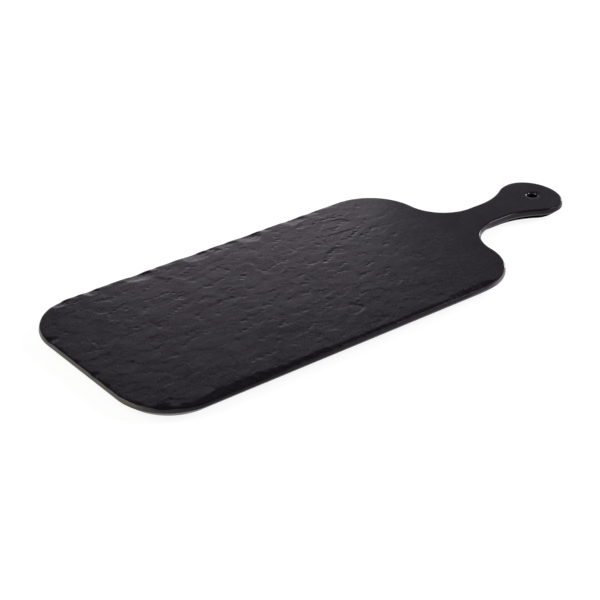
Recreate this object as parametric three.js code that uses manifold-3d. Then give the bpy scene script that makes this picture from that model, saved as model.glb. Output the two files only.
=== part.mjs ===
// Melamine serving paddle with a slate look: one moulded body, which is the board, the neck and
// the knob of the handle in a single piece, and four rubber feet in shallow pockets under it.
//
// Units are millimetres. X runs along the paddle towards the handle, Y across it and Z up.
// The origin is the middle of the overall length and width, on the surface the paddle stands on.

import * as THREE from 'three';
import { mergeVertices } from 'three/addons/utils/BufferGeometryUtils.js';
import Module from 'manifold-3d';

// Overall sizes
const overallLength = 385;
const boardLength = 290; // without the handle
const boardWidth = 150;
const overallHeight = 10; // from the table to the top face

// Plan outline
const cornerRadius = 37; // the two corners of the end without a handle
const shoulderRadius = 37; // the two corners beside the handle
const neckFlareRadius = 28; // hollow curve from a shoulder into the neck
const knobFlareRadius = 47; // hollow curve from the neck into the knob
const neckWidth = 25.5;
const knobWidth = 47;
const knobTipLength = 19.2; // from the knob's widest line to its tip

// Section of the edge, from the top face down
const topRound = 1; // radius of the top edge
const sideDraft = 0.6; // how far the side leans out down to the parting ridge
const partingDepth = 3.05; // from the top face to the middle of the parting ridge
const partingLand = 0.8; // height of the ridge left by the mould's parting line
const partingRound = 1; // radius of the ridge's two corners
const undercutInset = 6.7; // how far the undercut runs in below the ridge
const undercutRound = 1.2; // radius where the undercut meets the underside

// Underside of the board
const recessMargin = 14; // from the board's widest line to the mouth of the recess
const recessDepth = 2.2;
const recessWallSlope = 1.6; // how far the wall of the recess leans in over its depth
const recessRound = 0.8; // radius where the wall of the recess meets its floor

// Feet
const footDiameter = 10;
const footEdgeDistance = 31; // from the board's long sides and ends to the middle of a foot
const footStandOut = 0.8; // how far a foot stands out below the underside
const footRound = 0.6; // radius of a foot's lower edge
const footPocketDepth = 0.5; // below the floor of the recess
const footClearance = 0.3; // between a foot and the wall of its pocket

// Hanging hole through the knob
const hangHoleDiameter = 7.2;
const hangHoleFromTip = 18.4;
const hangHoleRound = 1.2; // radius of the hole's rims

// Fineness of the faceted curves, and the overrun of every cut
const outlineStepDegrees = 6;
const roundStepDegrees = 22.5;
const lathedSides = 40;
const cutOverrun = 3;

// Places worked out from the sizes above
const undersideZ = footStandOut;
const recessFloorZ = undersideZ + recessDepth;
const pocketFloorZ = recessFloorZ + footPocketDepth;
const knobCentreX = overallLength - knobTipLength;

const wasm = await Module();
wasm.setup();

const rightAngle = Math.PI / 2;
const outlineStep = THREE.MathUtils.degToRad(outlineStepDegrees);
const roundStep = THREE.MathUtils.degToRad(roundStepDegrees);

// The points of an arc from angle start to angle end, without its last point, which the next
// curve of the outline begins with.
function arc(centreX, centreY, radiusX, radiusY, start, end) {
  const steps = Math.max(1, Math.round(Math.abs(end - start) / outlineStep));
  const curve = new THREE.EllipseCurve(centreX, centreY, radiusX, radiusY, start, end, end < start);
  return curve.getPoints(steps).slice(0, -1);
}

// Closes a half outline, which runs from the tip's side of the axis to the other end at Y > 0,
// with its mirror image. Points on the axis aren't repeated. X moves to the paddle's own frame.
function mirrored(half) {
  const other = half.filter((point) => point.y > 0).map((point) => new THREE.Vector2(point.x, -point.y));
  const shift = new THREE.Vector2(overallLength / 2, 0);
  return [...half, ...other.reverse()].map((point) => point.sub(shift));
}

// Plan outline of the whole paddle, drawn in by inset all round. All its arcs meet on tangents.
function paddleOutline(inset) {
  const neckHalf = neckWidth / 2;
  const knobRadius = knobWidth / 2;
  const knobFlareY = neckHalf + knobFlareRadius;
  const knobReach = knobRadius + knobFlareRadius;
  const knobAngle = Math.asin(knobFlareY / knobReach);
  const knobFlareX = knobCentreX - knobReach * Math.cos(knobAngle);
  const shoulderX = boardLength - shoulderRadius;
  const shoulderY = boardWidth / 2 - shoulderRadius;
  const neckFlareY = neckHalf + neckFlareRadius;
  const shoulderReach = shoulderRadius + neckFlareRadius;
  const shoulderAngle = Math.asin((neckFlareY - shoulderY) / shoulderReach);
  const neckFlareX = shoulderX + shoulderReach * Math.cos(shoulderAngle);
  const cornerY = boardWidth / 2 - cornerRadius;
  const knob = knobRadius - inset;
  const knobFlare = knobFlareRadius + inset;
  const neckFlare = neckFlareRadius + inset;
  const shoulder = shoulderRadius - inset;
  const corner = cornerRadius - inset;
  return mirrored([
    ...arc(knobCentreX, 0, knobTipLength - inset, knob, 0, rightAngle),
    ...arc(knobCentreX, 0, knob, knob, rightAngle, Math.PI - knobAngle),
    ...arc(knobFlareX, knobFlareY, knobFlare, knobFlare, -knobAngle, -rightAngle),
    new THREE.Vector2(knobFlareX, neckHalf - inset),
    ...arc(neckFlareX, neckFlareY, neckFlare, neckFlare, -rightAngle, shoulderAngle - Math.PI),
    ...arc(shoulderX, shoulderY, shoulder, shoulder, shoulderAngle, rightAngle),
    new THREE.Vector2(shoulderX, boardWidth / 2 - inset),
    ...arc(cornerRadius, cornerY, corner, corner, rightAngle, Math.PI),
    new THREE.Vector2(inset, cornerY),
  ]);
}

// Plan outline of the recess under the board: a rounded rectangle, drawn in by inset.
function recessOutline(inset) {
  const margin = recessMargin + inset;
  const shoulder = shoulderRadius - margin;
  const corner = cornerRadius - margin;
  const shoulderX = boardLength - shoulderRadius;
  const shoulderY = boardWidth / 2 - shoulderRadius;
  const cornerY = boardWidth / 2 - cornerRadius;
  return mirrored([
    ...arc(shoulderX, shoulderY, shoulder, shoulder, 0, rightAngle),
    new THREE.Vector2(shoulderX, boardWidth / 2 - margin),
    ...arc(cornerRadius, cornerY, corner, corner, rightAngle, Math.PI),
    new THREE.Vector2(margin, cornerY),
  ]);
}

// The arc of radius round that takes the corner at off the lines from it to before and to after.
function roundedCorner(at, before, after, round) {
  const back = before.clone().sub(at).normalize();
  const on = after.clone().sub(at).normalize();
  const halfAngle = back.angleTo(on) / 2;
  const reach = round / Math.tan(halfAngle);
  const centre = back.clone().add(on).setLength(round / Math.sin(halfAngle)).add(at);
  const first = back.multiplyScalar(reach).add(at);
  const last = on.multiplyScalar(reach).add(at);
  const spoke = first.clone().sub(centre);
  const endSpoke = last.clone().sub(centre);
  const turn = Math.atan2(spoke.cross(endSpoke), spoke.dot(endSpoke));
  const steps = Math.max(1, Math.round(Math.abs(turn) / roundStep));
  return Array.from({ length: steps + 1 }, (_, step) =>
    first.clone().rotateAround(centre, (turn * step) / steps));
}

// A section as Vector2s of inset and z, from a line of { inset, z, round } corners. A corner
// without a round stays sharp.
function roundedSection(corners) {
  const at = corners.map((corner) => new THREE.Vector2(corner.inset, corner.z));
  return corners.flatMap(({ round }, i) =>
    round ? roundedCorner(at[i], at[i - 1], at[i + 1], round) : [at[i]]);
}

// A closed body whose plan is outline(inset) at each inset and z of the section, lowest first.
function loft(outline, section) {
  const rings = section.map((level) => outline(level.x).map((point) => [point.x, point.y, level.y]));
  const count = rings[0].length;
  const index = [];
  for (let ring = 0; ring < rings.length - 1; ring += 1) {
    for (let i = 0; i < count; i += 1) {
      const here = ring * count + i;
      const next = ring * count + ((i + 1) % count);
      index.push(here, next, next + count, here, next + count, here + count);
    }
  }
  const lid = THREE.ShapeUtils.triangulateShape(outline(section.at(-1).x), []);
  const floor = THREE.ShapeUtils.triangulateShape(outline(section[0].x), []);
  const lidStart = (rings.length - 1) * count;
  lid.forEach(([a, b, c]) => index.push(lidStart + a, lidStart + b, lidStart + c));
  floor.forEach(([a, b, c]) => index.push(a, c, b));
  const geometry = new THREE.BufferGeometry();
  geometry.setAttribute('position', new THREE.Float32BufferAttribute(rings.flat(2), 3));
  geometry.setIndex(index);
  return geometry;
}

// A body turned about a vertical axis. The profile is [radius, z] pairs from the bottom up,
// and starts and ends on the axis.
function lathed(profile) {
  const points = profile.map(([radius, z]) => new THREE.Vector2(radius, z));
  return new THREE.LatheGeometry(points, lathedSides).rotateX(rightAngle);
}

function toSolid(geometry) {
  const bare = geometry.clone();
  bare.deleteAttribute('normal');
  bare.deleteAttribute('uv');
  const merged = mergeVertices(bare);
  const vertProperties = new Float32Array(merged.attributes.position.array);
  const triVerts = new Uint32Array(merged.index.array);
  return new wasm.Manifold(new wasm.Mesh({ numProp: 3, vertProperties, triVerts }));
}

function toGeometry(solid) {
  const { vertProperties, triVerts } = solid.getMesh();
  const geometry = new THREE.BufferGeometry();
  geometry.setAttribute('position', new THREE.BufferAttribute(vertProperties, 3));
  geometry.setIndex(new THREE.BufferAttribute(triVerts, 1));
  geometry.computeVertexNormals();
  return geometry;
}

// The edge runs up from the underside: undercut, parting ridge, side, rounded top edge. The
// first and last points lie on the flats of the underside and the top face.
function bodySection() {
  const ridgeZ = overallHeight - partingDepth;
  return roundedSection([
    { inset: undercutInset + undercutRound, z: undersideZ },
    { inset: undercutInset, z: undersideZ, round: undercutRound },
    { inset: 0, z: ridgeZ - partingLand / 2, round: partingRound },
    { inset: 0, z: ridgeZ + partingLand / 2, round: partingRound },
    { inset: sideDraft, z: overallHeight, round: topRound },
    { inset: sideDraft + topRound * 2, z: overallHeight },
  ]);
}

// The recess is wider at its mouth, and its cutter runs on below the underside. The last point
// lies on the flat of the recess's floor.
function recessSection() {
  return roundedSection([
    { inset: 0, z: undersideZ - cutOverrun },
    { inset: 0, z: undersideZ },
    { inset: recessWallSlope, z: recessFloorZ, round: recessRound },
    { inset: recessWallSlope + recessRound * 2, z: recessFloorZ },
  ]);
}

// The angles of the steps of a quarter turn.
function quarterTurn() {
  const steps = Math.round(rightAngle / roundStep);
  return Array.from({ length: steps + 1 }, (_, step) => (step / steps) * rightAngle);
}

// Cutter of the hanging hole: it flares in a quarter round at the underside and at the top.
function hangHoleProfile() {
  const radius = hangHoleDiameter / 2;
  const wide = radius + hangHoleRound;
  const lower = quarterTurn().map((angle) => [
    wide - hangHoleRound * Math.sin(angle),
    undersideZ + hangHoleRound * (1 - Math.cos(angle)),
  ]);
  const upper = lower.map(([r, z]) => [r, overallHeight + undersideZ - z]).reverse();
  const bottom = undersideZ - cutOverrun;
  const top = overallHeight + cutOverrun;
  return [[0, bottom], [wide, bottom], ...lower, ...upper, [wide, top], [0, top]];
}

// Pocket for a foot, cut up into the floor of the recess.
function footPocketProfile() {
  const radius = footDiameter / 2 + footClearance;
  return [[0, undersideZ], [radius, undersideZ], [radius, pocketFloorZ], [0, pocketFloorZ]];
}

// A foot stands on the table and reaches up to the floor of its pocket.
function footProfile() {
  const radius = footDiameter / 2;
  const rounded = quarterTurn().map((angle) => [
    radius - footRound * (1 - Math.sin(angle)),
    footRound * (1 - Math.cos(angle)),
  ]);
  return [[0, 0], ...rounded, [radius, pocketFloorZ], [0, pocketFloorZ]];
}

const melamine = new THREE.MeshStandardMaterial({ color: 0x262427, roughness: 0.42, metalness: 0 });
const rubber = new THREE.MeshStandardMaterial({ color: 0x1c1c1d, roughness: 0.85, metalness: 0 });

function named(name, geometry, material) {
  const mesh = new THREE.Mesh(geometry, material);
  mesh.name = name;
  return mesh;
}

// Where the feet stand, as seen from the end without a handle, looking towards the handle.
function footPlaces() {
  const endX = footEdgeDistance - overallLength / 2;
  const shoulderX = boardLength - footEdgeDistance - overallLength / 2;
  const sideY = boardWidth / 2 - footEdgeDistance;
  return {
    foot_end_left: [endX, sideY],
    foot_end_right: [endX, -sideY],
    foot_shoulder_left: [shoulderX, sideY],
    foot_shoulder_right: [shoulderX, -sideY],
  };
}

function paddleBody() {
  let body = toSolid(loft(paddleOutline, bodySection()));
  body = body.subtract(toSolid(loft(recessOutline, recessSection())));
  const holeX = overallLength / 2 - hangHoleFromTip;
  body = body.subtract(toSolid(lathed(hangHoleProfile()).translate(holeX, 0, 0)));
  Object.values(footPlaces()).forEach(([x, y]) => {
    body = body.subtract(toSolid(lathed(footPocketProfile()).translate(x, y, 0)));
  });
  return named('paddle_body', toGeometry(body), melamine);
}

function feet() {
  return Object.entries(footPlaces()).map(([name, [x, y]]) => {
    const foot = named(name, lathed(footProfile()), rubber);
    foot.position.set(x, y, 0);
    return foot;
  });
}

const paddle = new THREE.Group();
paddle.add(paddleBody(), ...feet());

export default paddle;
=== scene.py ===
# Melamine serving paddle with a riven slate look, standing on a plain pale floor. The board, the
# neck and the knob are one moulded piece, and four rubber feet sit in pockets under the board.
# Lengths are metres. X runs along the paddle from its plain end towards the handle, Y across it
# to the left, and Z up. Inset means a distance in from the widest line of the outline.
import math

import bpy
import numpy as np
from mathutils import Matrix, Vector
from mathutils.geometry import delaunay_2d_cdt
from mathutils.kdtree import KDTree


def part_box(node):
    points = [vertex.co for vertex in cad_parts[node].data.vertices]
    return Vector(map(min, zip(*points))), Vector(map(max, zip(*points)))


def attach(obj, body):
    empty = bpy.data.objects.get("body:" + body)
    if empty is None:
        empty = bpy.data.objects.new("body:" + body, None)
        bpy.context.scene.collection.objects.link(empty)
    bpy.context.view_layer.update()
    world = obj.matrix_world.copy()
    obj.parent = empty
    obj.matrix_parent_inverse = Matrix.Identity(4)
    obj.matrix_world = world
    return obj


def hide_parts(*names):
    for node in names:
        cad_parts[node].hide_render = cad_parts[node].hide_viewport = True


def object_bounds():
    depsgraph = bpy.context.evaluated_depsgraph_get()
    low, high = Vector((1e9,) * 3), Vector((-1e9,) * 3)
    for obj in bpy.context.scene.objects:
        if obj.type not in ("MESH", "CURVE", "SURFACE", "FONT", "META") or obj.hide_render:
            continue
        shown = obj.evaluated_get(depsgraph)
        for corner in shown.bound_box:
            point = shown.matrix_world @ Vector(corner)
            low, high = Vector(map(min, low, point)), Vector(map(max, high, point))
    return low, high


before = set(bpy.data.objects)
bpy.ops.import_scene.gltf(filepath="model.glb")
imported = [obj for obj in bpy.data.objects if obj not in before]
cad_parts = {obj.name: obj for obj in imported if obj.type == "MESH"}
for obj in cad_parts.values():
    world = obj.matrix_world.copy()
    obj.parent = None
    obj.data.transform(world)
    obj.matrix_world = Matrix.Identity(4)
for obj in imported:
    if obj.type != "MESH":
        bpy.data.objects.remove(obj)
cad_low, cad_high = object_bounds()

MM = 0.001

# Overall sizes and places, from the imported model
body_low, body_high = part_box("paddle_body")
END_X = body_low.x
TIP_X = body_high.x
BOARD_WIDTH = body_high.y - body_low.y
UNDERSIDE_Z = body_low.z
TOP_Z = body_high.z
FEET = ["foot_end_left", "foot_end_right", "foot_shoulder_left", "foot_shoulder_right"]

# Plan outline
BOARD_LENGTH = 290 * MM
CORNER_RADIUS = 37 * MM
SHOULDER_RADIUS = 37 * MM
NECK_FLARE_RADIUS = 28 * MM
KNOB_FLARE_RADIUS = 47 * MM
NECK_WIDTH = 25.5 * MM
KNOB_WIDTH = 47 * MM
KNOB_TIP_LENGTH = 19.2 * MM

# Section of the edge
TOP_ROUND = 1 * MM
SIDE_DRAFT = 0.6 * MM
PARTING_DEPTH = 3.05 * MM
PARTING_LAND = 0.8 * MM
PARTING_ROUND = 1 * MM
UNDERCUT_INSET = 6.7 * MM
UNDERCUT_ROUND = 1.2 * MM

# Underside
RECESS_MARGIN = 14 * MM
RECESS_DEPTH = 2.2 * MM
RECESS_WALL_SLOPE = 1.6 * MM
RECESS_ROUND = 0.8 * MM
POCKET_DEPTH = 0.5 * MM
POCKET_CLEARANCE = 0.3 * MM

# Hanging hole
HOLE_DIAMETER = 7.2 * MM
HOLE_FROM_TIP = 18.4 * MM
HOLE_ROUND = 1.2 * MM

# Fineness of the meshes
OUTLINE_STEP = 1.5 * MM
ROUND_STEP = math.radians(15)
BOARD_STEP = 0.84 * MM
HANDLE_STEP = 2.6 * MM
HANDLE_START = 6 * MM
UNDERSIDE_STEP = 6 * MM
HOLE_SIDES = 64
HOLE_WALL_RINGS = 5
FOOT_SIDES = 64
QUARTER_POINTS = 7
SHARP_ANGLE = math.radians(50)

# Points of the top along the scars: their step, their least gap, and how clear of them the plain
# pattern stays. The shares of a pattern's step say how far it stays in from the edges and pockets
SCAR_STEP = 0.6 * MM
SCAR_POINT_GAP = 0.38 * MM
SCAR_POINT_CLEARANCE = 0.45 * MM
BOARD_RIM_SHARE = 0.45
RIM_SHARE = 0.4
POCKET_SHARE = 1.2

# Relief of the board: broken edges, chains of short scars, tilted flakes and a slow swell. It
# fades towards the handle, earlier on the near side, and the scars are calmer towards the plain
# end and the near side. Each pair in a value named WAVES is the size of a wave and its reach
RELIEF_SEED = 11
RELIEF_FULL_X = END_X + 222 * MM
RELIEF_GONE_X = END_X + 288 * MM
RELIEF_LEAN = 0.3
RELIEF_END_FADE = 30 * MM
RELIEF_RIM = 6 * MM
GRAIN_ANGLE = math.radians(13)
CHAIN_SPREAD = math.radians(15)
CHAIN_SPACING = 10 * MM
CHAIN_COUNT = 230
CHAIN_TRIES = 40
CHAIN_MARGIN = 5 * MM
CHAIN_LINKS = 4
CHAIN_STRENGTH = (0.35, 1)
CHAIN_SIDE_SHARE = 0.6
LINK_ANGLE = math.radians(-1)
LINK_SPREAD = math.radians(20)
LINK_DRIFT = 0.7 * MM
LINK_GAP = (-0.6 * MM, 1.5 * MM)
SCAR_MARGIN = 4 * MM
SCAR_HALF_LENGTH = (0.9 * MM, 2.7 * MM)
SCAR_DEPTH = (0.1 * MM, 0.26 * MM)
SCAR_FADE = (2 * MM, 5 * MM)
SCAR_END_POWER = 0.6
SCAR_BEND = (0.12, 2.2)
SCAR_WAVES = ((0.6 * MM, 0.24 * MM), (0.25 * MM, 0.12 * MM))
SCAR_CALM = 0.45
SCAR_CALM_X = (END_X + 20 * MM, END_X + 80 * MM)
SCAR_CALM_Y = (-52 * MM, 10 * MM)
LIP = 0.3 * MM
PIT_WIDTH = 0.54 * MM
FLAKE_SIZE = (15 * MM, 8.5 * MM)
FLAKE_STEP = 0.011 * MM
FLAKE_TILT = 0.005
CHIP_SIZE = (5.6 * MM, 3.4 * MM)
CHIP_STEP = 0.006 * MM
CHIP_TILT = 0.0035
FLAKE_LIP = 0.22 * MM
WARP_WAVES = ((6.5 * MM, 1.3 * MM), (2.1 * MM, 0.45 * MM))
SWELL_DEPTH = 0.05 * MM
SWELL_SIZE = 19 * MM
FINE_SWELL_DEPTH = 0.4 * SWELL_DEPTH
FINE_SWELL_SIZE = SWELL_SIZE / 2.6
RIM_DEPTH = 0.06 * MM
NICK_DEPTH = 0.22 * MM
NICK_SIZE = 3.2 * MM
NICK_REACH = (1 * MM, 3 * MM)

# Finish of the melamine
HANDLE_FADE = 52 * MM
CLOUD_SIZE = 26 * MM
MOTTLE_SIZE = 3.2 * MM
SPECK_SIZE = 0.5 * MM
RIVEN_SIZE = 2.1 * MM
RIVEN_DEPTH = 0.02 * MM
GRAIN_SIZE = 0.55 * MM
GRAIN_DEPTH = 0.002 * MM
GRAIN_STRETCH = (0.62, 1.0, 1.0)
DEEP_BLACK = (0.0046, 0.0036, 0.0050, 1)
SOFT_BLACK = (0.0074, 0.0058, 0.0082, 1)
SPECK_GREY = (0.014, 0.0125, 0.0155, 1)
TOP_TINT = (0.92, 0.72, 1.0, 1)
SIDE_TINT = (0.95, 0.84, 1.0, 1)
# The tint below is a painted warm cast on the reflections of the faces towards the ends
END_PAINTED_WARMTH = (1.0, 0.96, 0.74, 1)

# Where along x the painted shade on the edge is lifted, so that real highlights show: off the side
# along the board and off the rounded edge at the neck, and both come back towards the knob. The
# shoulder's side carries a painted highlight
SIDE_SHADE_LIFT_IN = (END_X + 150 * MM, END_X + 240 * MM)
ROUND_SHADE_LIFT_IN = (END_X + 300 * MM, END_X + 309 * MM)
SHADE_LIFT_OUT = (END_X + 310 * MM, END_X + 356 * MM)
# Where along x the shoulder's side carries its painted highlight
SHOULDER_HIGHLIGHT_IN = (END_X + 236 * MM, END_X + 270 * MM)
SHOULDER_HIGHLIGHT_OUT = (END_X + 286 * MM, END_X + 294 * MM)

# Camera, as the photograph was taken
CAMERA_AZIMUTH = math.radians(-38.156)
CAMERA_ELEVATION = math.radians(29.579)
CAMERA_TARGET = Vector((-43.61 * MM, -16.13 * MM, 9.7 * MM))
CAMERA_DISTANCE = 1068.8 * MM
CAMERA_LENS = 103.43
CAMERA_SENSOR = 36

BOARD_HALF = BOARD_WIDTH / 2
NECK_HALF = NECK_WIDTH / 2
KNOB_RADIUS = KNOB_WIDTH / 2
KNOB_X = TIP_X - KNOB_TIP_LENGTH
SHOULDER_X = END_X + BOARD_LENGTH - SHOULDER_RADIUS
CORNER_X = END_X + CORNER_RADIUS
HOLE_X = TIP_X - HOLE_FROM_TIP
RIDGE_Z = TOP_Z - PARTING_DEPTH
RECESS_Z = UNDERSIDE_Z + RECESS_DEPTH
POCKET_Z = RECESS_Z + POCKET_DEPTH
HANDLE_X = RELIEF_GONE_X + HANDLE_START


def smooth(low, high, x):
    """0 up to low, 1 from high on, and a smooth step between them."""
    t = np.clip((x - low) / (high - low), 0, 1)
    return t * t * (3 - 2 * t)


# Outlines
def arc(x, y, radius_x, radius_y, start, end, nominal):
    """An arc without its last point. nominal is its radius before any inset, which sets the count."""
    steps = max(1, round(abs(end - start) * nominal / OUTLINE_STEP))
    angle = np.linspace(start, end, steps + 1)[:-1]
    return np.column_stack([x + radius_x * np.cos(angle), y + radius_y * np.sin(angle)])


def line(start, end):
    """A straight stretch without its last point."""
    start, end = np.array(start), np.array(end)
    steps = max(1, round(np.linalg.norm(end - start) / OUTLINE_STEP))
    return start + (end - start) * np.linspace(0, 1, steps + 1)[:-1, None]


def mirrored(half):
    """Closes a half outline, from the tip's side of the axis to the other end, with its mirror."""
    other = half[half[:, 1] > 1e-9] * [1, -1]
    return np.vstack([half, other[::-1]])


def paddle_outline(inset):
    """Plan outline of the whole paddle. All its arcs meet on tangents."""
    quarter = math.pi / 2
    knob_flare_y = NECK_HALF + KNOB_FLARE_RADIUS
    knob_reach = KNOB_RADIUS + KNOB_FLARE_RADIUS
    knob_angle = math.asin(knob_flare_y / knob_reach)
    knob_flare_x = KNOB_X - knob_reach * math.cos(knob_angle)
    shoulder_y = BOARD_HALF - SHOULDER_RADIUS
    neck_flare_y = NECK_HALF + NECK_FLARE_RADIUS
    shoulder_reach = SHOULDER_RADIUS + NECK_FLARE_RADIUS
    shoulder_angle = math.asin((neck_flare_y - shoulder_y) / shoulder_reach)
    neck_flare_x = SHOULDER_X + shoulder_reach * math.cos(shoulder_angle)
    corner_y = BOARD_HALF - CORNER_RADIUS
    knob = KNOB_RADIUS - inset
    knob_flare = KNOB_FLARE_RADIUS + inset
    neck_flare = NECK_FLARE_RADIUS + inset
    shoulder = SHOULDER_RADIUS - inset
    corner = CORNER_RADIUS - inset
    side = BOARD_HALF - inset
    return mirrored(np.vstack([
        arc(KNOB_X, 0, KNOB_TIP_LENGTH - inset, knob, 0, quarter, KNOB_RADIUS),
        arc(KNOB_X, 0, knob, knob, quarter, math.pi - knob_angle, KNOB_RADIUS),
        arc(knob_flare_x, knob_flare_y, knob_flare, knob_flare,
            -knob_angle, -quarter, KNOB_FLARE_RADIUS),
        line((knob_flare_x, NECK_HALF - inset), (neck_flare_x, NECK_HALF - inset)),
        arc(neck_flare_x, neck_flare_y, neck_flare, neck_flare,
            -quarter, shoulder_angle - math.pi, NECK_FLARE_RADIUS),
        arc(SHOULDER_X, shoulder_y, shoulder, shoulder, shoulder_angle, quarter, SHOULDER_RADIUS),
        line((SHOULDER_X, side), (CORNER_X, side)),
        arc(CORNER_X, corner_y, corner, corner, quarter, math.pi, CORNER_RADIUS),
        line((END_X + inset, corner_y), (END_X + inset, 0)),
        [(END_X + inset, 0)],
    ]))


def recess_outline(inset):
    """Plan outline of the recess under the board, drawn in by inset from its mouth."""
    quarter = math.pi / 2
    margin = RECESS_MARGIN + inset
    side = BOARD_HALF - margin
    shoulder_y = BOARD_HALF - SHOULDER_RADIUS
    corner_y = BOARD_HALF - CORNER_RADIUS
    shoulder = SHOULDER_RADIUS - margin
    corner = CORNER_RADIUS - margin
    return mirrored(np.vstack([
        line((SHOULDER_X + shoulder, 0), (SHOULDER_X + shoulder, shoulder_y)),
        arc(SHOULDER_X, shoulder_y, shoulder, shoulder, 0, quarter, SHOULDER_RADIUS),
        line((SHOULDER_X, side), (CORNER_X, side)),
        arc(CORNER_X, corner_y, corner, corner, quarter, math.pi, CORNER_RADIUS),
        line((END_X + margin, corner_y), (END_X + margin, 0)),
        [(END_X + margin, 0)],
    ]))


def circle(x, y, radius, sides):
    angle = np.linspace(0, 2 * math.pi, sides, endpoint=False)
    return np.column_stack([x + radius * np.cos(angle), y + radius * np.sin(angle)])


def rounded_corner(at, before, after, radius):
    """The arc that takes the corner at off the lines from it to before and to after."""
    at, before, after = np.array(at), np.array(before), np.array(after)
    back = (before - at) / np.linalg.norm(before - at)
    on = (after - at) / np.linalg.norm(after - at)
    half = math.acos(np.clip(back @ on, -1, 1)) / 2
    middle = (back + on) / np.linalg.norm(back + on)
    centre = at + middle * radius / math.sin(half)
    first = at + back * radius / math.tan(half) - centre
    last = at + on * radius / math.tan(half) - centre
    turn = math.atan2(first[0] * last[1] - first[1] * last[0], first @ last)
    steps = max(2, round(abs(turn) / ROUND_STEP))
    angles = math.atan2(first[1], first[0]) + turn * np.linspace(0, 1, steps + 1)
    return centre + radius * np.column_stack([np.cos(angles), np.sin(angles)])


def rounded_section(corners):
    """Points of inset and z, from corners of inset, z and radius. A radius of 0 leaves one sharp."""
    section = []
    for i, (inset, z, radius) in enumerate(corners):
        if radius:
            section.extend(rounded_corner((inset, z), corners[i - 1][:2], corners[i + 1][:2], radius))
        else:
            section.append((inset, z))
    return np.array(section)


# Relief of the top face
def grain_noise(x, y, size, seed):
    """Smooth noise from about -1 to 1, with swells about as wide as size."""
    count = 256
    angles = np.random.default_rng(seed).uniform(0, 2 * math.pi, (count, count))
    u, v = x / size + count / 2, y / size + count / 2
    i, j = np.floor(u).astype(int), np.floor(v).astype(int)
    u, v = u - i, v - j

    def corner(di, dj):
        angle = angles[(i + di) % count, (j + dj) % count]
        return np.cos(angle) * (u - di) + np.sin(angle) * (v - dj)

    blend_u, blend_v = smooth(0, 1, u), smooth(0, 1, v)
    low = corner(0, 0) * (1 - blend_u) + corner(1, 0) * blend_u
    high = corner(0, 1) * (1 - blend_u) + corner(1, 1) * blend_u
    return 1.5 * (low * (1 - blend_v) + high * blend_v)


def edge_distance(x, y):
    """Distance in from the board's outline, taken as a rectangle with round corners."""
    middle = END_X + BOARD_LENGTH / 2
    across = np.abs(x - middle) - (BOARD_LENGTH / 2 - CORNER_RADIUS)
    up = np.abs(y) - (BOARD_HALF - CORNER_RADIUS)
    outside = np.hypot(np.maximum(across, 0), np.maximum(up, 0))
    return CORNER_RADIUS - outside - np.minimum(np.maximum(across, up), 0)


def warped(x, y, seed):
    """The place each point takes its relief from, so that every line of it wanders."""
    for size, reach in WARP_WAVES:
        x, y = x + reach * grain_noise(x, y, size, seed), y + reach * grain_noise(x, y, size, seed + 1)
        seed += 2
    return x, y


def flakes(x, y, size, step, tilt, seed):
    """Height of flakes, each a plane with its own height and tilt, longer along the grain."""
    count = 128
    rng = np.random.default_rng(seed)
    jitter = rng.uniform(0.1, 0.9, (2, count, count))
    rise = rng.normal(0, step, (count, count))
    lean = rng.normal(0, tilt, (2, count, count))
    turn_x, turn_y = math.cos(GRAIN_ANGLE), math.sin(GRAIN_ANGLE)
    u, v = x * turn_x + y * turn_y, y * turn_x - x * turn_y
    i, j = np.floor(u / size[0]).astype(int), np.floor(v / size[1]).astype(int)
    reaches, planes = [], []
    for di in (-1, 0, 1):
        for dj in (-1, 0, 1):
            cell = (i + di) % count, (j + dj) % count
            du = u - (i + di + jitter[0][cell]) * size[0]
            dv = v - (j + dj + jitter[1][cell]) * size[1]
            reaches.append(np.hypot(du * size[1] / size[0], dv))
            planes.append(rise[cell] + lean[0][cell] * du + lean[1][cell] * dv)
    reaches = np.array(reaches)
    weights = np.exp((reaches.min(axis=0) - reaches) / FLAKE_LIP)
    return (weights * planes).sum(axis=0) / weights.sum(axis=0)


def scattered(rng, count, spacing, margin):
    """Up to count places on the board, none closer to another than spacing."""
    places = []
    for _ in range(count * CHAIN_TRIES):
        x = rng.uniform(END_X + margin, RELIEF_GONE_X)
        y = rng.uniform(-BOARD_HALF + margin, BOARD_HALF - margin)
        if edge_distance(x, y) < margin:
            continue
        if all(math.hypot(x - a, y - b) > spacing for a, b in places):
            places.append((x, y))
        if len(places) == count:
            break
    return places


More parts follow.
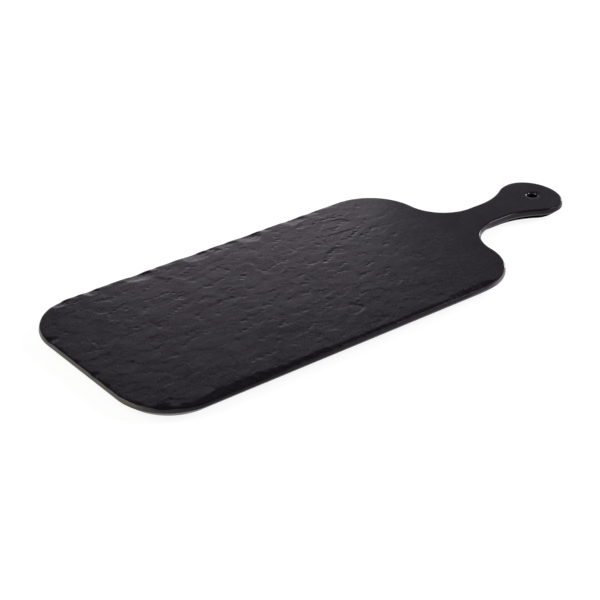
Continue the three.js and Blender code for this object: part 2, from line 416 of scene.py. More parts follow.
def make_scars(rng):
    """Chains of scars where flakes came off. side is 1 where the ground drops to the near side of
    the line, -1 where it drops to the far side, and 0 for a pit."""
    scars = []
    for x, y in scattered(rng, CHAIN_COUNT, CHAIN_SPACING, CHAIN_MARGIN):
        heading = rng.normal(GRAIN_ANGLE, CHAIN_SPREAD)
        chain_side = rng.choice([1, -1, 0, 0])
        strength = rng.uniform(*CHAIN_STRENGTH)
        strength = strength * (SCAR_CALM + (1 - SCAR_CALM) * smooth(*SCAR_CALM_X, x))
        strength = strength * (SCAR_CALM + (1 - SCAR_CALM) * smooth(*SCAR_CALM_Y, y))
        for _ in range(rng.integers(1, CHAIN_LINKS + 1)):
            half = rng.uniform(*SCAR_HALF_LENGTH)
            angle = rng.normal(LINK_ANGLE, LINK_SPREAD)
            x, y = x + half * math.cos(heading), y + half * math.sin(heading)
            scars.append({
                "x": x,
                "y": y,
                "angle": angle,
                "half": half,
                "depth": rng.uniform(*SCAR_DEPTH) * strength,
                "fade": rng.uniform(*SCAR_FADE),
                "side": chain_side if rng.random() < CHAIN_SIDE_SHARE else rng.choice([1, -1, 0, 0, 0]),
                "phases": rng.uniform(0, 2 * math.pi, 3),
            })
            ahead, aside = half + rng.uniform(*LINK_GAP), rng.normal(0, LINK_DRIFT)
            x += ahead * math.cos(heading) - aside * math.sin(heading)
            y += ahead * math.sin(heading) + aside * math.cos(heading)
    return [scar for scar in scars if edge_distance(scar["x"], scar["y"]) > SCAR_MARGIN]


def ragged(scar, u):
    """How far a scar's line wanders to the side at distance u along it."""
    reach, turn = SCAR_BEND
    first, *others = scar["phases"]
    wander = reach * scar["half"] * np.sin(u / scar["half"] * turn + first)
    for (size, reach), phase in zip(SCAR_WAVES, others):
        wander = wander + reach * np.sin(u / size + phase)
    return wander


def scar_depth(scar, x, y):
    """How far one scar lowers the points at x and y."""
    turn_x, turn_y = math.cos(scar["angle"]), math.sin(scar["angle"])
    u = (x - scar["x"]) * turn_x + (y - scar["y"]) * turn_y
    v = (y - scar["y"]) * turn_x - (x - scar["x"]) * turn_y
    window = np.clip(1 - (u / scar["half"]) ** 2, 0, 1) ** SCAR_END_POWER
    v = v - ragged(scar, u)
    if scar["side"] == 0:
        return scar["depth"] * np.exp(-(v / PIT_WIDTH) ** 2) * window
    v = v * scar["side"]
    return scar["depth"] * smooth(LIP, -LIP, v) * (1 - smooth(0, scar["fade"], -v)) * window


def scar_points(scar, step):
    """Points on both lips of a scar, which the mesh needs to hold its line."""
    u = np.arange(-scar["half"], scar["half"], step)
    width = PIT_WIDTH if scar["side"] == 0 else LIP
    turn_x, turn_y = math.cos(scar["angle"]), math.sin(scar["angle"])
    rows = []
    for offset in ([-width, 0, width] if scar["side"] == 0 else [-width, width]):
        v = ragged(scar, u) + offset
        x, y = scar["x"] + u * turn_x - v * turn_y, scar["y"] + u * turn_y + v * turn_x
        rows.append(np.column_stack([x, y]))
    return np.vstack(rows)


# Chips off the edge of the plain end, as x from that end, y, half length along the edge, width and
# depth, all in millimetres
END_CHIPS = [
    (0, 37, 5, 8, 0.75), (0, 22, 7, 2.4, 0.45), (0, 6, 6, 2.2, 0.4), (0, -12, 4, 5.5, 0.65),
    (0, -27, 8, 2.4, 0.45), (3, -52, 8, 2.6, 0.5), (13, -66, 6, 6.5, 0.75), (9, 62, 7, 2.5, 0.35),
]
CHIP_WAVES = ((3.1 * MM, 0.6 * MM), (1.3 * MM, 0.2 * MM))
CHIP_SHIFT_SIZE = 4 * MM
CHIP_SHIFT = 0.7 * MM
# Hollows along the far long side, as x from the plain end, distance in from the edge, half length,
# width and depth, all in millimetres. They run out over the rim
FAR_HOLLOWS = [
    (29, 3.0, 7, 8, 0.50), (41, 2.4, 4, 3.6, 0.18), (52, 2.8, 6, 7.2, 0.46),
    (65, 2.2, 6, 3.6, 0.16), (87, 3.4, 10.5, 11, 0.62), (100, 2.2, 3.5, 4, 0.24),
    (111, 2.4, 7, 3.6, 0.15), (131, 3.2, 10.5, 10.5, 0.54), (143, 2.2, 4.5, 5, 0.24),
    (156, 3.4, 8, 7, 0.28), (174, 3.8, 10, 11, 0.56), (189, 2.4, 5, 5, 0.22),
    (212, 3.4, 11, 9, 0.36), (228, 2.6, 6, 5.5, 0.24), (246, 2.4, 8, 3.6, 0.12),
]
# A hollow is open over the rim in its part towards the plain end and closes towards the handle,
# between two shares of its half length. The mouth gives the reach of its outer slope, open and
# closed, as a share of its inset. The open inset is a share too, and the scoop is the power that
# its inner slope rises with
HOLLOW_CLOSING = (-0.2, 0.7)
HOLLOW_MOUTH = (2.1, 0.85)
HOLLOW_OPEN_INSET = 0.4
HOLLOW_SCOOP = 1.6
# The broken band along the near long side, as x from the plain end and width, in millimetres
BAND_WIDTHS = [
    (17, 4), (45, 6), (66, 8), (83, 6), (97, 4), (118, 4.6), (137, 2.8), (161, 3.3), (182, 2.8),
    (196, 3.8), (212, 2.8), (230, 4.6), (251, 6), (264, 3),
]
BAND_TAPER = (9 * MM, 22 * MM)
BAND_WAVES = ((11 * MM, 1.1 * MM), (4.5 * MM, 1.3 * MM), (1.9 * MM, 0.7 * MM))
BAND_SLOPE = 0.16
BAND_DEPTH = (0.12 * MM, 1.05 * MM)
BAND_ROUGH_SIZE = 3 * MM
BAND_ROUGH_DEPTH = 0.06 * MM


def chip_depth(x, y):
    """How far the chips at the plain end lower the points. Each is a slanting cut with a curved
    crest."""
    distance = edge_distance(x, y)
    rough = distance
    for seed, (size, reach) in enumerate(CHIP_WAVES, 3):
        rough = rough + reach * grain_noise(x, y, size, seed)
    along = CHIP_SHIFT * grain_noise(x, y, CHIP_SHIFT_SIZE, 5)
    depth = np.zeros_like(x)
    probe = 0.1 * MM
    for chip in END_CHIPS:
        cx, cy, half, width, deep = np.array(chip) * MM + [END_X, 0, 0, 0, 0]
        slope_x = edge_distance(cx + probe, cy) - edge_distance(cx - probe, cy)
        slope_y = edge_distance(cx, cy + probe) - edge_distance(cx, cy - probe)
        length = math.hypot(slope_x, slope_y)
        t = ((x - cx) * slope_y - (y - cy) * slope_x) / length + along
        cut = deep * (1 - (t / half) ** 2 - np.maximum(rough, 0) / width)
        depth = np.where(np.hypot(x - cx, y - cy) < half + width * 2, np.maximum(depth, cut), depth)
    return depth


def hollow_depth(x, y):
    """How far the hollows along the far side lower the points. Each is steeper on its outer side."""
    u, v = warped(x, BOARD_HALF - y, 40)
    depth = np.zeros_like(x)
    for hollow in FAR_HOLLOWS:
        cx, inset, half, width, deep = np.array(hollow) * MM + [END_X, 0, 0, 0, 0]
        closed = smooth(HOLLOW_CLOSING[0] * half, HOLLOW_CLOSING[1] * half, u - cx)
        inset = inset * (HOLLOW_OPEN_INSET + (1 - HOLLOW_OPEN_INSET) * closed)
        mouth = HOLLOW_MOUTH[0] + (HOLLOW_MOUTH[1] - HOLLOW_MOUTH[0]) * closed
        inner = np.maximum((v - inset) / (width - inset), 0) ** HOLLOW_SCOOP
        outer = (inset - v) / (inset * mouth)
        cut = deep * (1 - ((u - cx) / half) ** 2 - np.maximum(inner, outer))
        depth = np.maximum(depth, cut)
    return depth


def band_depth(x, y):
    """How far the broken band lowers the points: a slope that deepens towards the near long side."""
    distance = np.where(y < 0, edge_distance(x, y), BOARD_HALF)
    places, widths = np.array(BAND_WIDTHS).T * MM
    width = np.interp(x, places + END_X, widths)
    deep = np.minimum(BAND_DEPTH[0] + width * BAND_SLOPE, BAND_DEPTH[1])
    for seed, (size, reach) in enumerate(BAND_WAVES, 50):
        width = width + reach * grain_noise(x, y * 0.5, size, seed)
    first, last = places[0] + END_X, places[-1] + END_X
    taper_in, taper_out = BAND_TAPER
    ends = smooth(first, first + taper_in, x)
    ends = ends * (1 - smooth(last - taper_out / 2, last + taper_out / 2, x))
    rough = BAND_ROUGH_DEPTH * grain_noise(x, y, BAND_ROUGH_SIZE, 60)
    return np.maximum(deep * (ends - distance / np.maximum(width, MM)) + rough * ends, 0)


def nick_depth(x, y):
    """How far the small nicks all along the rim lower the points."""
    reach = 1 - smooth(*NICK_REACH, edge_distance(x, y))
    return NICK_DEPTH * reach * np.maximum(grain_noise(x, y, NICK_SIZE, 61), 0)


SCARS = make_scars(np.random.default_rng(RELIEF_SEED))


def relief(x, y):
    """How far the board's surface lies below its highest plane."""
    strength = 1 - smooth(RELIEF_FULL_X, RELIEF_GONE_X, x - RELIEF_LEAN * y)
    strength = strength * (1 - smooth(RELIEF_GONE_X - RELIEF_END_FADE, RELIEF_GONE_X, x))
    inner = smooth(0, RELIEF_RIM, edge_distance(x, y))
    depth = SWELL_DEPTH * grain_noise(x, y, SWELL_SIZE, 1)
    depth = depth + FINE_SWELL_DEPTH * grain_noise(x, y, FINE_SWELL_SIZE, 2)
    u, v = warped(x, y, 20)
    depth = depth + flakes(u, v, FLAKE_SIZE, FLAKE_STEP, FLAKE_TILT, 30)
    depth = depth + flakes(u, v, CHIP_SIZE, CHIP_STEP, CHIP_TILT, 31)
    for scar in SCARS:
        reach = scar["half"] + scar["fade"]
        near = np.flatnonzero((np.abs(x - scar["x"]) < reach) & (np.abs(y - scar["y"]) < reach))
        depth[near] += scar_depth(scar, x[near], y[near])
    depth = np.maximum(RIM_DEPTH + depth * inner + nick_depth(x, y), 0) * strength
    return depth + np.maximum(chip_depth(x, y), band_depth(x, y)) + hollow_depth(x, y)


def top_height(points):
    """Height of the top face at an array of plan points."""
    height = np.full(len(points), TOP_Z)
    board = np.flatnonzero(points[:, 0] < RELIEF_GONE_X)
    height[board] -= relief(points[board, 0], points[board, 1])
    return height


# Mesh building
def inside(points, polygon):
    """Which points lie inside a polygon."""
    found = np.zeros(len(points), bool)
    x, y = points[:, 0], points[:, 1]
    for (ax, ay), (bx, by) in zip(polygon, np.roll(polygon, -1, axis=0)):
        if ay != by:
            crosses = (ay > y) != (by > y)
            found ^= crosses & (x < (bx - ax) * (y - ay) / (by - ay) + ax)
    return found


def lattice(step, low, high):
    """Plan points in a triangular pattern over a rectangle."""
    rows = []
    row_step = step * math.sqrt(3) / 2
    for row, y in enumerate(np.arange(low[1], high[1], row_step)):
        x = np.arange(low[0] + (row % 2) * step / 2, high[0], step)
        rows.append(np.column_stack([x, np.full(len(x), y)]))
    return np.vstack(rows)


def apart(points, gap, others=()):
    """The points that keep the gap to each other and to the others."""
    cells = {}
    for point in others:
        cells.setdefault((int(point[0] // gap), int(point[1] // gap)), []).append(point)
    kept = []
    for point in points:
        column, row = int(point[0] // gap), int(point[1] // gap)
        around = [q for i in (-1, 0, 1) for j in (-1, 0, 1)
                  for q in cells.get((column + i, row + j), ())]
        if all((point[0] - q[0]) ** 2 + (point[1] - q[1]) ** 2 > gap * gap for q in around):
            kept.append(point)
            cells.setdefault((column, row), []).append(point)
    return np.array(kept).reshape(-1, 2)


class Shell:
    """A mesh put together from closed rings of points and the filled surfaces between them."""

    def __init__(self):
        self.points = []
        self.faces = []

    def ring(self, plan, z):
        """Adds a closed ring of plan points at height z, which is one number or one for each."""
        first = len(self.points)
        heights = np.broadcast_to(z, len(plan))
        self.points.extend((float(x), float(y), float(h)) for (x, y), h in zip(plan, heights))
        return list(range(first, len(self.points)))

    def band(self, lower, upper):
        """Quads between two rings. Their outer side faces out where lower lies below upper."""
        for i, j in zip(range(len(lower)), [*range(1, len(lower)), 0]):
            self.faces.append((lower[i], lower[j], upper[j], upper[i]))

    def bands(self, rings):
        for lower, upper in zip(rings, rings[1:]):
            self.band(lower, upper)

    def fill(self, outer, holes, inner, height, up):
        """Triangles inside the ring outer and outside the rings in holes, through inner points too."""
        ids = list(outer) + [i for hole in holes for i in hole]
        edges = []
        for loop in [outer, *holes]:
            first = len(edges)
            edges += [(first + i, first + (i + 1) % len(loop)) for i in range(len(loop))]
        ids += self.ring(inner, height(inner) if len(inner) else 0)
        plan = np.array([self.points[i][:2] for i in ids])
        scale = 1 / MM
        result = delaunay_2d_cdt([Vector(p) for p in plan * scale], edges, [], 1, 1e-6)
        triangles = np.array([[result[3][i][0] for i in face] for face in result[2]])
        corners = plan[triangles]
        middles = corners.mean(axis=1)
        keep = np.ones(len(triangles), bool)
        for hole in holes:
            keep &= ~inside(middles, np.array([self.points[i][:2] for i in hole]))
        first, second = corners[:, 1] - corners[:, 0], corners[:, 2] - corners[:, 0]
        turned = (first[:, 0] * second[:, 1] - first[:, 1] * second[:, 0] > 0) != up
        triangles[turned] = triangles[turned][:, ::-1]
        self.faces.extend(tuple(ids[i] for i in triangle) for triangle in triangles[keep])

    def object(self, name, material, sharp):
        """The finished object, smooth except over edges that turn by more than sharp."""
        mesh = bpy.data.meshes.new(name)
        mesh.from_pydata(self.points, [], self.faces)
        mesh.validate()
        mesh.shade_smooth()
        mesh.set_sharp_from_angle(angle=sharp)
        mesh.materials.append(material)
        piece = bpy.data.objects.new(name, mesh)
        bpy.context.scene.collection.objects.link(piece)
        return piece


# Material nodes
class Nodes:
    """Short calls for building a material's nodes."""

    def __init__(self, name):
        self.material = bpy.data.materials.new(name)
        self.material.use_nodes = True
        self.tree = self.material.node_tree
        self.shader = self.tree.nodes["Principled BSDF"]
        self.position = self.add("ShaderNodeTexCoord").outputs["Object"]

    def add(self, kind, inputs=None, **settings):
        node = self.tree.nodes.new(kind)
        for key, value in settings.items():
            setattr(node, key, value)
        for key, value in (inputs or {}).items():
            self.put(node.inputs[key], value)
        return node

    def put(self, socket, value):
        if isinstance(value, bpy.types.NodeSocket):
            self.tree.links.new(value, socket)
        else:
            socket.default_value = value

    def stretched(self, scale):
        """The position, scaled by three numbers."""
        return self.add("ShaderNodeMapping", {"Vector": self.position, "Scale": scale}).outputs[0]

    def noise(self, size, detail=2.0, roughness=0.5, vector=None, distortion=0.0):
        """Noise with swells about as wide as size."""
        return self.add("ShaderNodeTexNoise", {
            "Vector": vector or self.position, "Scale": 1 / size, "Detail": detail,
            "Roughness": roughness, "Distortion": distortion,
        }).outputs["Fac"]

    def span(self, value, from_low, from_high, to_low, to_high):
        """A value mapped from one range to another, and held at its ends."""
        return self.add("ShaderNodeMapRange", {
            "Value": value, "From Min": from_low, "From Max": from_high,
            "To Min": to_low, "To Max": to_high,
        }).outputs["Result"]

    def math(self, operation, first, second):
        return self.add("ShaderNodeMath", {0: first, 1: second}, operation=operation).outputs[0]

    def plus(self, first, second):
        return self.math("ADD", first, second)

    def minus(self, first, second):
        return self.math("SUBTRACT", first, second)

    def times(self, first, second):
        return self.math("MULTIPLY", first, second)

    def larger(self, first, second):
        return self.math("MAXIMUM", first, second)

    def rest(self, value):
        """1 less the value."""
        return self.minus(1.0, value)

    def blend(self, factor, first, second):
        """A colour between two, by factor."""
        node = self.add("ShaderNodeMix", {"Factor": factor}, data_type="RGBA")
        self.put(node.inputs[6], first)
        self.put(node.inputs[7], second)
        return node.outputs[2]

    def bump(self, height, distance, normal=None):
        node = self.add("ShaderNodeBump", {"Height": height, "Distance": distance})
        if normal:
            self.put(node.inputs["Normal"], normal)
        return node.outputs["Normal"]


def melamine_material():
    """Black moulded melamine: satin on the riven top, glossier on the handle and round the edge, with
    painted shade and highlights along the edge set through its shine, and a painted warm tint on the
    reflections of the end faces.
    """
    nodes = Nodes("melamine")
    x, _, z = nodes.add("ShaderNodeSeparateXYZ", {0: nodes.position}).outputs
    normal = nodes.add("ShaderNodeNewGeometry").outputs["Normal"]
    normal_x, normal_y, normal_z = nodes.add("ShaderNodeSeparateXYZ", {0: normal}).outputs

    # Parts of the body, each 1 on the part and 0 off it
    handle = nodes.span(x, RELIEF_GONE_X - HANDLE_FADE, RELIEF_GONE_X, 0.0, 1.0)
    edge = nodes.span(normal_z, 0.55, 0.9, 1.0, 0.0)
    side = nodes.times(edge, nodes.span(normal_z, -0.5, -0.25, 0.0, 1.0))
    from_hole = nodes.add("ShaderNodeVectorMath", {0: nodes.position, 1: (HOLE_X, 0, TOP_Z)},
                          operation="DISTANCE").outputs["Value"]
    hole = nodes.times(nodes.span(from_hole, HOLE_DIAMETER, HOLE_DIAMETER * 1.2, 1.0, 0.0),
                       nodes.span(normal_z, 0.9, 0.99, 1.0, 0.0))
    flank = nodes.times(nodes.span(normal_z, 0.25, 0.45, 1.0, 0.0), nodes.rest(hole))
    facing_end = nodes.times(normal_x, normal_x)

    # Colour
    cloud = nodes.noise(CLOUD_SIZE, 4, 0.6)
    mottle = nodes.noise(MOTTLE_SIZE, 4, 0.65, distortion=0.6)
    speck = nodes.noise(SPECK_SIZE, 2, 0.6)
    shade = nodes.plus(nodes.times(cloud, 0.5), nodes.times(mottle, 0.5))
    colour = nodes.blend(nodes.span(shade, 0.35, 0.65, 0.0, 1.0), DEEP_BLACK, SOFT_BLACK)
    colour = nodes.blend(nodes.span(speck, 0.62, 0.74, 0.0, 0.15), colour, SPECK_GREY)
    nodes.put(nodes.shader.inputs["Base Color"], colour)

    # Roughness
    satin = nodes.span(mottle, 0.3, 0.7, 0.24, 0.32)
    satin = nodes.plus(satin, nodes.times(flank, 0.22))
    satin = nodes.plus(satin, nodes.span(cloud, 0.35, 0.65, -0.02, 0.02))
    satin = nodes.minus(satin, nodes.times(handle, 0.05))
    satin = nodes.minus(satin, nodes.times(edge, 0.10))
    satin = nodes.minus(satin, nodes.times(hole, 0.10))
    nodes.put(nodes.shader.inputs["Roughness"], nodes.larger(satin, 0.05))

    # Shine, which also paints light and shade: less on the side, a painted shade for the shaded floor
    # it reflects, less on the rounded edge, a painted dark rim line, and none low on the handle's
    # undercut, a painted contact shadow; more on the plain end, the shoulder's side and part of the
    # hole's wall, painted highlights, and less on the hole's rim that faces +y, a painted shade
    shade_lift_out = nodes.span(x, *SHADE_LIFT_OUT, 1.0, 0.0)
    side_shade_lift = nodes.times(nodes.span(x, *SIDE_SHADE_LIFT_IN, 0.0, 0.9), shade_lift_out)
    # Less shine on the sides paints the shade of the shaded floor they reflect, lifted along x
    side_painted_shade = nodes.times(nodes.plus(nodes.times(handle, 0.06), 0.22), nodes.rest(side_shade_lift))
    round_shade_lift = nodes.times(nodes.span(x, *ROUND_SHADE_LIFT_IN, 0.0, 1.0), shade_lift_out)
    # Less shine on the rounded top edge paints a dark line along the rim; the shade lift takes it off
    # at the neck
    round_painted_shade = nodes.times(nodes.span(normal_z, 0.1, 0.4, 0.0, 0.36),
                             nodes.span(normal_z, 0.9, 0.98, 1.0, 0.0))
    round_painted_shade = nodes.times(round_painted_shade, nodes.rest(round_shade_lift))
    # Low on the handle's undercut the shine goes to nothing, which paints a black contact shadow under
    # the handle
    undercut_painted_shadow = nodes.times(handle, nodes.span(z, RIDGE_Z - 1.3 * MM, RIDGE_Z - 0.5 * MM, 0.5, 0.0))
    undercut_painted_shadow = nodes.times(undercut_painted_shadow, nodes.span(normal_z, -0.98, -0.88, 0.0, 1.0))
    edge_painted_shade = nodes.times(nodes.larger(nodes.times(side, side_painted_shade), round_painted_shade), nodes.rest(hole))
    shine = nodes.minus(0.5, nodes.larger(edge_painted_shade, undercut_painted_shadow))
    # In the hole, more shine paints its highlights, and far less where the rim faces +y paints shade on
    # the near rim
    hole_highlight_and_shade = nodes.times(hole, nodes.span(normal_y, 0.08, 0.35, 0.3, -0.45))
    # More shine on the sides that face along x paints a highlight on the plain end
    ends = nodes.times(facing_end, nodes.times(side, 0.45))
    # Much more shine on the shoulder's side paints a highlight there
    shoulder_painted_highlight = nodes.times(nodes.span(x, *SHOULDER_HIGHLIGHT_IN, 0.0, 1.6), nodes.span(x, *SHOULDER_HIGHLIGHT_OUT, 1.0, 0.0))
    shoulder_painted_highlight = nodes.times(shoulder_painted_highlight, nodes.times(side, nodes.span(normal_z, 0.2, 0.45, 1.0, 0.0)))
    shine = nodes.plus(nodes.plus(shine, hole_highlight_and_shade), nodes.plus(ends, shoulder_painted_highlight))
    nodes.put(nodes.shader.inputs["Specular IOR Level"], shine)
    # The faces towards the ends take a painted warm cast on their reflections
    edge_tint = nodes.blend(facing_end, SIDE_TINT, END_PAINTED_WARMTH)
    nodes.put(nodes.shader.inputs["Specular Tint"], nodes.blend(edge, TOP_TINT, edge_tint))
    nodes.shader.inputs["IOR"].default_value = 1.5

    # Fine relief
    along_grain = nodes.stretched(GRAIN_STRETCH)
    riven = nodes.noise(RIVEN_SIZE, 5, 0.62, along_grain, 0.8)
    grain = nodes.noise(GRAIN_SIZE, 2, 0.6, along_grain)
    rough = nodes.times(nodes.rest(handle), nodes.rest(nodes.times(edge, 0.7)))
    riven = nodes.times(riven, nodes.plus(nodes.times(rough, 0.94), 0.06))
    fine = nodes.bump(grain, GRAIN_DEPTH, normal=nodes.bump(riven, RIVEN_DEPTH))
    nodes.put(nodes.shader.inputs["Normal"], fine)
    return nodes.material


def rubber_material():
    """Matte black rubber, a little dusty on top of its fine pores."""
    nodes = Nodes("foot_rubber")
    dust = nodes.noise(1.4 * MM, 4, 0.6)
    pores = nodes.noise(0.25 * MM, 3, 0.6)
    colour = nodes.blend(nodes.span(dust, 0.4, 0.7, 0.0, 1.0),
                         (0.014, 0.014, 0.015, 1), (0.03, 0.03, 0.031, 1))
    nodes.put(nodes.shader.inputs["Base Color"], colour)
    nodes.put(nodes.shader.inputs["Roughness"], nodes.span(dust, 0.3, 0.7, 0.72, 0.88))
    nodes.put(nodes.shader.inputs["Normal"], nodes.bump(pores, 0.02 * MM))
    return nodes.material


# Pieces
def body_section():
    """From the underside up: undercut, parting ridge, side and rounded top edge."""
    return rounded_section([
        (UNDERCUT_INSET + UNDERCUT_ROUND, UNDERSIDE_Z, 0),
        (UNDERCUT_INSET, UNDERSIDE_Z, UNDERCUT_ROUND),
        (0, RIDGE_Z - PARTING_LAND / 2, PARTING_ROUND),
        (0, RIDGE_Z + PARTING_LAND / 2, PARTING_ROUND),
        (SIDE_DRAFT, TOP_Z, TOP_ROUND),
        (SIDE_DRAFT + TOP_ROUND * 2, TOP_Z, 0),
    ])[:-1]


def recess_section():
    """From the mouth of the recess up to its floor."""
    return rounded_section([
        (0, UNDERSIDE_Z, 0),
        (RECESS_WALL_SLOPE, RECESS_Z, RECESS_ROUND),
        (RECESS_WALL_SLOPE + RECESS_ROUND * 2, RECESS_Z, 0),
    ])[:-1]


def hole_section():
    """Radius and z from the underside up, with a round at both rims."""
    wide = HOLE_DIAMETER / 2 + HOLE_ROUND
    turn = np.linspace(0, math.pi / 2, QUARTER_POINTS)
    radius = wide - HOLE_ROUND * np.sin(turn)
    rise = HOLE_ROUND * (1 - np.cos(turn))
    wall = np.linspace(UNDERSIDE_Z + HOLE_ROUND, TOP_Z - HOLE_ROUND, HOLE_WALL_RINGS)[1:-1]
    return np.vstack([
        np.column_stack([radius, UNDERSIDE_Z + rise]),
        np.column_stack([np.full(len(wall), HOLE_DIAMETER / 2), wall]),
        np.column_stack([radius, TOP_Z - rise])[::-1],
    ])


def make_body(material):
    shell = Shell()
    section = body_section()
    rim = paddle_outline(section[-1][0])
    rim_height = top_height(rim)
    rings = []
    for inset, z in section:
        lift = np.clip((z - RIDGE_Z) / (TOP_Z - RIDGE_Z), 0, 1)
        rings.append(shell.ring(paddle_outline(inset), z - lift * (TOP_Z - rim_height)))
    shell.bands(rings)

    hole_rings = [shell.ring(circle(HOLE_X, 0, radius, HOLE_SIDES), z) for radius, z in hole_section()]
    shell.bands(hole_rings[::-1])

    guard = paddle_outline(section[-1][0] + BOARD_STEP * BOARD_RIM_SHARE)
    features = np.vstack([scar_points(scar, SCAR_STEP) for scar in SCARS])
    features = features[inside(features, guard) & (features[:, 0] < RELIEF_GONE_X)]
    features = apart(features, SCAR_POINT_GAP)
    board = lattice(BOARD_STEP, (END_X, -BOARD_HALF), (HANDLE_X, BOARD_HALF))
    handle = lattice(HANDLE_STEP, (HANDLE_X, -BOARD_HALF), (TIP_X, BOARD_HALF))
    plain = np.vstack([board, handle])
    plain = plain[inside(plain, guard)]
    hole_reach = hole_section()[-1][0] + HANDLE_STEP * RIM_SHARE
    plain = plain[np.hypot(plain[:, 0] - HOLE_X, plain[:, 1]) > hole_reach]
    tree = KDTree(len(features))
    for i, (x, y) in enumerate(features):
        tree.insert((x, y, 0), i)
    tree.balance()
    clear = [tree.find((x, y, 0))[2] > SCAR_POINT_CLEARANCE for x, y in plain]
    shell.fill(rings[-1], [hole_rings[-1]], np.vstack([plain[clear], features]), top_height, True)

    recess_rings = [shell.ring(recess_outline(inset), z) for inset, z in recess_section()]
    shell.bands(recess_rings[::-1])
    under = lattice(UNDERSIDE_STEP, (END_X, -BOARD_HALF), (TIP_X, BOARD_HALF))
    rim_under = under[inside(under, paddle_outline(section[0][0] + UNDERSIDE_STEP * RIM_SHARE))]
    rim_under = rim_under[~inside(rim_under, recess_outline(-UNDERSIDE_STEP * RIM_SHARE))]
    rim_under = rim_under[np.hypot(rim_under[:, 0] - HOLE_X, rim_under[:, 1]) > HOLE_DIAMETER]
    shell.fill(rings[0], [recess_rings[0], hole_rings[0]], rim_under,
               lambda points: np.full(len(points), UNDERSIDE_Z), False)

    pockets = []
    for foot in FEET:
        low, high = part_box(foot)
        radius = (high.x - low.x) / 2 + POCKET_CLEARANCE
        plan = circle((low.x + high.x) / 2, (low.y + high.y) / 2, radius, FOOT_SIDES)
        mouth, roof = shell.ring(plan, RECESS_Z), shell.ring(plan, POCKET_Z)
        shell.band(roof, mouth)
        shell.fill(roof, [], np.zeros((0, 2)), None, False)
        pockets.append(mouth)
    floor = under[inside(under, recess_outline(recess_section()[-1][0] + UNDERSIDE_STEP * RIM_SHARE))]
    for mouth in pockets:
        middle = np.mean([shell.points[i][:2] for i in mouth], axis=0)
        floor = floor[np.hypot(*(floor - middle).T) > UNDERSIDE_STEP * POCKET_SHARE]
    shell.fill(recess_rings[-1], pockets, floor, lambda points: np.full(len(points), RECESS_Z), False)
    body = shell.object("paddle", material, SHARP_ANGLE)
    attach(body, "root")
    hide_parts("paddle_body")


def make_foot(node, material):
    """A rubber foot: a turned button with a shallow groove in its flat sole."""
    low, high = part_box(node)
    radius = (high.x - low.x) / 2
    round_radius = 0.6 * MM
    groove_radius, groove_half, groove_depth = 0.6 * radius, 0.35 * MM, 0.25 * MM
    turn = np.linspace(0, math.pi / 2, QUARTER_POINTS)
    profile = [
        (groove_radius - groove_half, low.z),
        (groove_radius - groove_half / 2, low.z + groove_depth),
        (groove_radius + groove_half / 2, low.z + groove_depth),
        (groove_radius + groove_half, low.z),
        *zip(radius - round_radius * (1 - np.sin(turn)), low.z + round_radius * (1 - np.cos(turn))),
        (radius, high.z),
    ]
    shell = Shell()
    x, y = (low.x + high.x) / 2, (low.y + high.y) / 2
    rings = [shell.ring(circle(x, y, r, FOOT_SIDES), z) for r, z in profile]
    shell.bands(rings)
    shell.fill(rings[0], [], np.zeros((0, 2)), None, False)
    shell.fill(rings[-1], [], np.zeros((0, 2)), None, True)
    foot = shell.object(node.replace("foot_", "rubber_foot_"), material, SHARP_ANGLE)
    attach(foot, "root")
    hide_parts(node)


# Stage
FLOOR_SIZE = 12
FLOOR_DROP = 0.02 * MM
FLOOR_GLOW = 0.88
FLOOR_COLOUR = (0.29, 0.29, 0.29, 1)
SKY_STOPS = [
    (0.0, 0.95), (0.22, 0.7), (0.34, 0.3), (0.45, 0.15), (0.6, 0.07), (0.78, 0.045), (1.0, 0.18),
]
SKY_TINT = (0.96, 0.95, 1.0)


def make_floor():
    """A plain white floor. Seen directly or in a reflection it is lifted to white by a faint glow."""
    bpy.ops.mesh.primitive_plane_add(size=FLOOR_SIZE, location=(0, 0, cad_low.z - FLOOR_DROP))
    floor = bpy.context.object
    floor.name = "floor"
    nodes = Nodes("floor")
    ray = nodes.add("ShaderNodeLightPath").outputs
    reflected = nodes.larger(ray["Is Glossy Ray"], ray["Is Transmission Ray"])
    seen = nodes.larger(ray["Is Camera Ray"], reflected)
    nodes.shader.inputs["Base Color"].default_value = FLOOR_COLOUR
    nodes.shader.inputs["Roughness"].default_value = 0.9
    nodes.shader.inputs["Specular IOR Level"].default_value = 0.0
    nodes.shader.inputs["Emission Color"].default_value = (1, 1, 1, 1)
    nodes.put(nodes.shader.inputs["Emission Strength"], nodes.times(seen, FLOOR_GLOW))
    floor.data.materials.append(nodes.material)


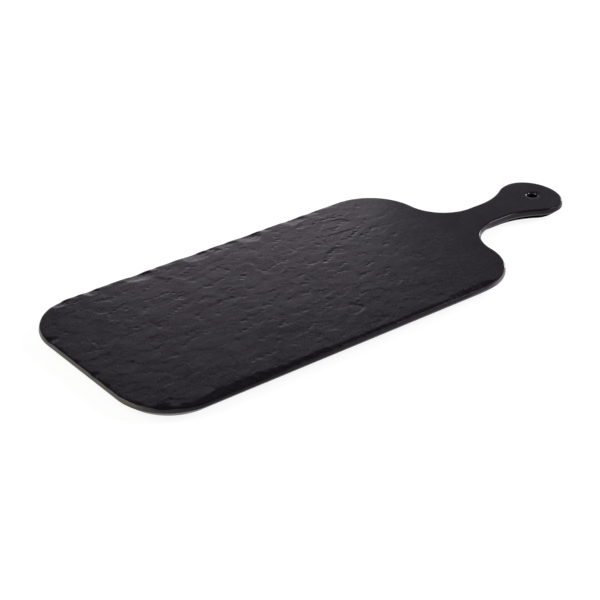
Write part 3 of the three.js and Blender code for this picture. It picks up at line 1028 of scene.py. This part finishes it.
def make_world():
    """Bright at the horizon and dimmer above, as round a table in a white studio bay."""
    world = bpy.data.worlds.new("studio")
    bpy.context.scene.world = world
    world.use_nodes = True
    tree = world.node_tree
    background = tree.nodes["Background"]
    direction = tree.nodes.new("ShaderNodeTexCoord").outputs["Generated"]
    split = tree.nodes.new("ShaderNodeSeparateXYZ")
    tree.links.new(direction, split.inputs[0])
    ramp = tree.nodes.new("ShaderNodeValToRGB")
    tree.links.new(split.outputs["Z"], ramp.inputs["Fac"])
    elements = ramp.color_ramp.elements
    while len(elements) < len(SKY_STOPS):
        elements.new(0.5)
    for element, (place, level) in zip(elements, SKY_STOPS):
        element.position = place
        element.color = (*(level * tint for tint in SKY_TINT), 1)
    tree.links.new(ramp.outputs["Color"], background.inputs["Color"])
    white = tree.nodes.new("ShaderNodeBackground")
    mix = tree.nodes.new("ShaderNodeMixShader")
    ray = tree.nodes.new("ShaderNodeLightPath").outputs["Is Camera Ray"]
    white.inputs["Color"].default_value = (1, 1, 1, 1)
    tree.links.new(ray, mix.inputs["Fac"])
    tree.links.new(background.outputs[0], mix.inputs[1])
    tree.links.new(white.outputs[0], mix.inputs[2])
    tree.links.new(mix.outputs[0], tree.nodes["World Output"].inputs["Surface"])


def softbox(name, azimuth, elevation, distance, width, height, power, colour=(1, 1, 1)):
    """A soft lamp towards an azimuth, seen from the middle of the paddle, that points at it."""
    a, e = math.radians(azimuth), math.radians(elevation)
    data = bpy.data.lights.new(name, "AREA")
    data.shape = "RECTANGLE"
    data.size, data.size_y = width, height
    data.energy = power
    data.color = colour
    lamp = bpy.data.objects.new(name, data)
    away = Vector((math.sin(a) * math.cos(e), math.cos(a) * math.cos(e), math.sin(e)))
    lamp.location = away * distance
    lamp.rotation_euler = away.to_track_quat("Z", "Y").to_euler()
    lamp.visible_camera = False
    bpy.context.scene.collection.objects.link(lamp)


def make_camera():
    data = bpy.data.cameras.new("camera")
    data.lens = CAMERA_LENS
    data.sensor_width = CAMERA_SENSOR
    camera = bpy.data.objects.new("camera", data)
    a, e = CAMERA_AZIMUTH, CAMERA_ELEVATION
    back = Vector((math.sin(a) * math.cos(e), -math.cos(a) * math.cos(e), math.sin(e)))
    camera.location = CAMERA_TARGET + back * CAMERA_DISTANCE
    camera.rotation_euler = back.to_track_quat("Z", "Y").to_euler()
    bpy.context.scene.collection.objects.link(camera)
    bpy.context.scene.camera = camera


make_camera()
melamine = melamine_material()
rubber = rubber_material()
make_body(melamine)
for foot_node in FEET:
    make_foot(foot_node, rubber)
make_floor()
make_world()
softbox("left", azimuth=-75, elevation=42, distance=1.2, width=0.8, height=0.8, power=3.5,
        colour=(1, 0.99, 0.93))
softbox("right", azimuth=127, elevation=34, distance=1.2, width=0.5, height=0.5, power=6)
softbox("back", azimuth=29.9, elevation=16.7, distance=0.755, width=0.34, height=0.32, power=0.245,
        colour=(0.96, 0.94, 1))
softbox("low", azimuth=32, elevation=9, distance=0.9, width=0.6, height=0.18, power=0.3,
        colour=(0.96, 0.94, 1))
softbox("flank", azimuth=-74, elevation=6, distance=1.4, width=0.9, height=0.28, power=4,
        colour=(1, 0.98, 0.86))
softbox("glint", azimuth=73.5, elevation=12.3, distance=1.07, width=0.16, height=0.2, power=2.4)

bpy.context.scene.view_settings.view_transform = "Standard"
